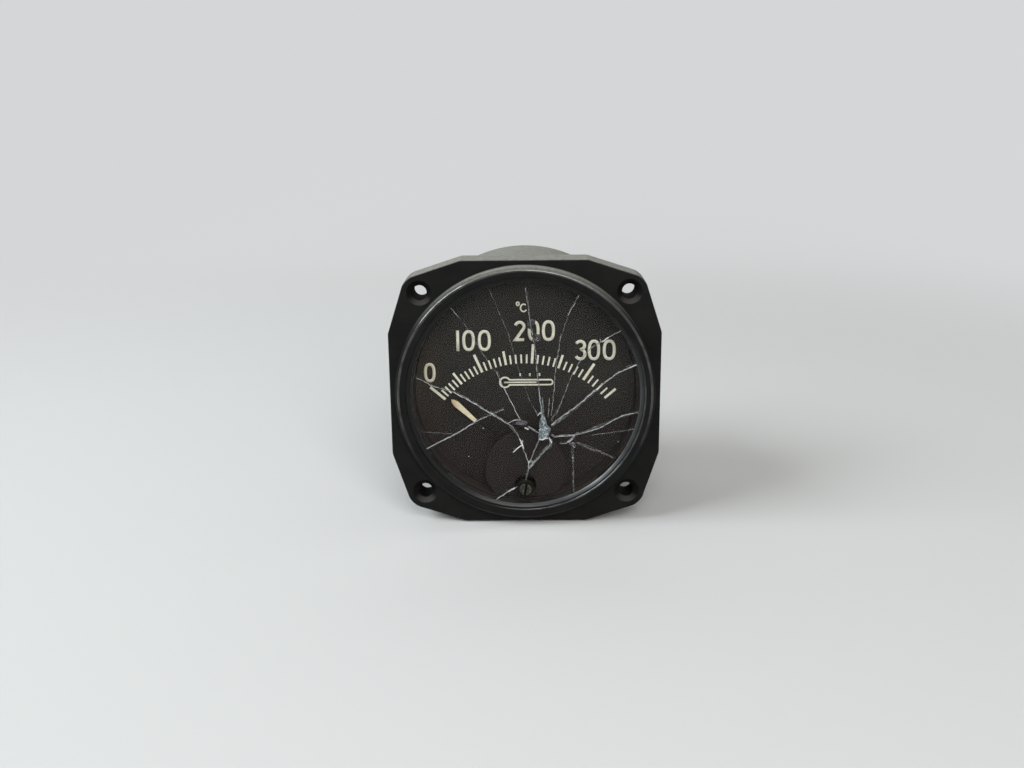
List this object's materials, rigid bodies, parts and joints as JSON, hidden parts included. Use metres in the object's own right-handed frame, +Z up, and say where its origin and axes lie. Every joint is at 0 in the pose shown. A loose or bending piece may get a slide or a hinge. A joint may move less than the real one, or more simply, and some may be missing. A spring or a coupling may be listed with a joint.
{
  "type": "cylinder head temperature gauge",
  "caption": "Panel-mounted aircraft temperature gauge: flanged black moulded case, round glass, off-centre pointer on a fan-shaped scale, moving-coil movement and two rear terminal studs.",
  "frame": {"origin": "centre of the flange's rear face, on the axis of the case, in the plane that lies against the instrument panel", "axes": "+Y runs back along the case axis, away from the reader; +X runs right as the dial is read; +Z runs up"},
  "size_m": [0.0826, 0.065, 0.0826],
  "materials": {
    "case_moulding": "black phenolic moulding, satin to half gloss",
    "blackened_steel": "blackened steel",
    "cover_glass": "clear glass, cracked",
    "gasket_rubber": "matt",
    "dark_brass": "darkened brass",
    "brass": "plain brass",
    "dial_black": "matt black paint",
    "pointer_black": "matt black paint",
    "luminous_paint": "aged luminous compound",
    "steel": "polished steel",
    "aluminium": "plain",
    "copper_wire": "enamelled copper wire",
    "spring_bronze": "phosphor bronze",
    "bimetal": "plain",
    "magnet_steel": "dark lacquer",
    "soft_iron": "plain",
    "bobbin_plastic": "brown phenolic",
    "resistance_wire": "silk-covered resistance wire",
    "lead_red": "insulated lead",
    "lead_black": "insulated lead",
    "terminal_metal": "dulled plating",
    "terminal_nut": "dulled nickel plate",
    "tinned_brass": "tinned"
  },
  "bodies": {
    "instrument": {"case": "case_moulding", "snap_ring": "blackened_steel", "cover_glass": "cover_glass", "glass_gasket": "gasket_rubber", "zero_bushing": "dark_brass", "zero_bushing_nut": "dark_brass", "pivot_mask": "dial_black", "dial_plate": "dial_black", "dial_screws": "dial_black", "dial_posts": "brass", "rear_hairspring": "spring_bronze", "front_bridge": "pointer_black", "bridge_posts": "brass", "bridge_screws": "blackened_steel", "front_jewel_screw": "brass", "rear_bridge": "brass", "rear_jewel_screw": "brass", "jewel_nuts": "brass", "bimetal_spiral": "bimetal", "magnet": "magnet_steel", "pole_pieces": "soft_iron", "pole_screws": "blackened_steel", "core": "soft_iron", "core_strap": "brass", "core_screw": "brass", "strap_screws": "blackened_steel", "magnet_clamp": "brass", "clamp_pillar": "aluminium", "clamp_screw": "blackened_steel", "movement_plate": "aluminium", "support_pillars": "aluminium", "plate_screws": "blackened_steel", "rear_screws": "blackened_steel", "pointer_stops": "pointer_black", "resistor_bobbin": "bobbin_plastic", "resistor_winding": "resistance_wire", "bobbin_screw": "blackened_steel", "lead_positive": "lead_red", "lead_resistor": "lead_black", "lead_negative": "lead_black", "stud_positive": "terminal_metal", "stud_negative": "terminal_metal", "nuts_positive": "terminal_nut", "nuts_negative": "terminal_nut", "washers_positive": "terminal_nut", "washers_negative": "terminal_nut", "solder_tags": "tinned_brass"},
    "moving_coil": {"pointer": "pointer_black", "luminous_fill": "luminous_paint", "balance_cross": "brass", "balance_weights": "brass", "front_staff": "steel", "rear_staff": "steel", "coil_former": "aluminium", "coil_winding": "copper_wire"},
    "zero_adjuster": {"zero_screw": "brass"},
    "corrector": {"zero_corrector": "brass", "front_hairspring": "spring_bronze"}
  },
  "joints": [
    {"name": "pointer_swing", "type": "hinge", "parent": "instrument", "child": "moving_coil", "pos_m": [0, 0, -0.0246], "axis": [0, 1, 0], "range_deg": [-5.6, 99], "stiffness_Nm_per_rad": 0.0000002},
    {"name": "zero_screw_turn", "type": "hinge", "parent": "instrument", "child": "zero_adjuster", "pos_m": [0, 0, -0.03], "axis": [0, 1, 0], "range_deg": [-60, 60]},
    {"name": "zero_corrector_swing", "type": "hinge", "parent": "instrument", "child": "corrector", "pos_m": [0, 0, -0.0246], "axis": [0, 1, 0], "range_deg": [-9, 9]}
  ],
  "couplings": [
    {"joint": "zero_corrector_swing", "follows": "zero_screw_turn", "ratio": 0.148}
  ]
}
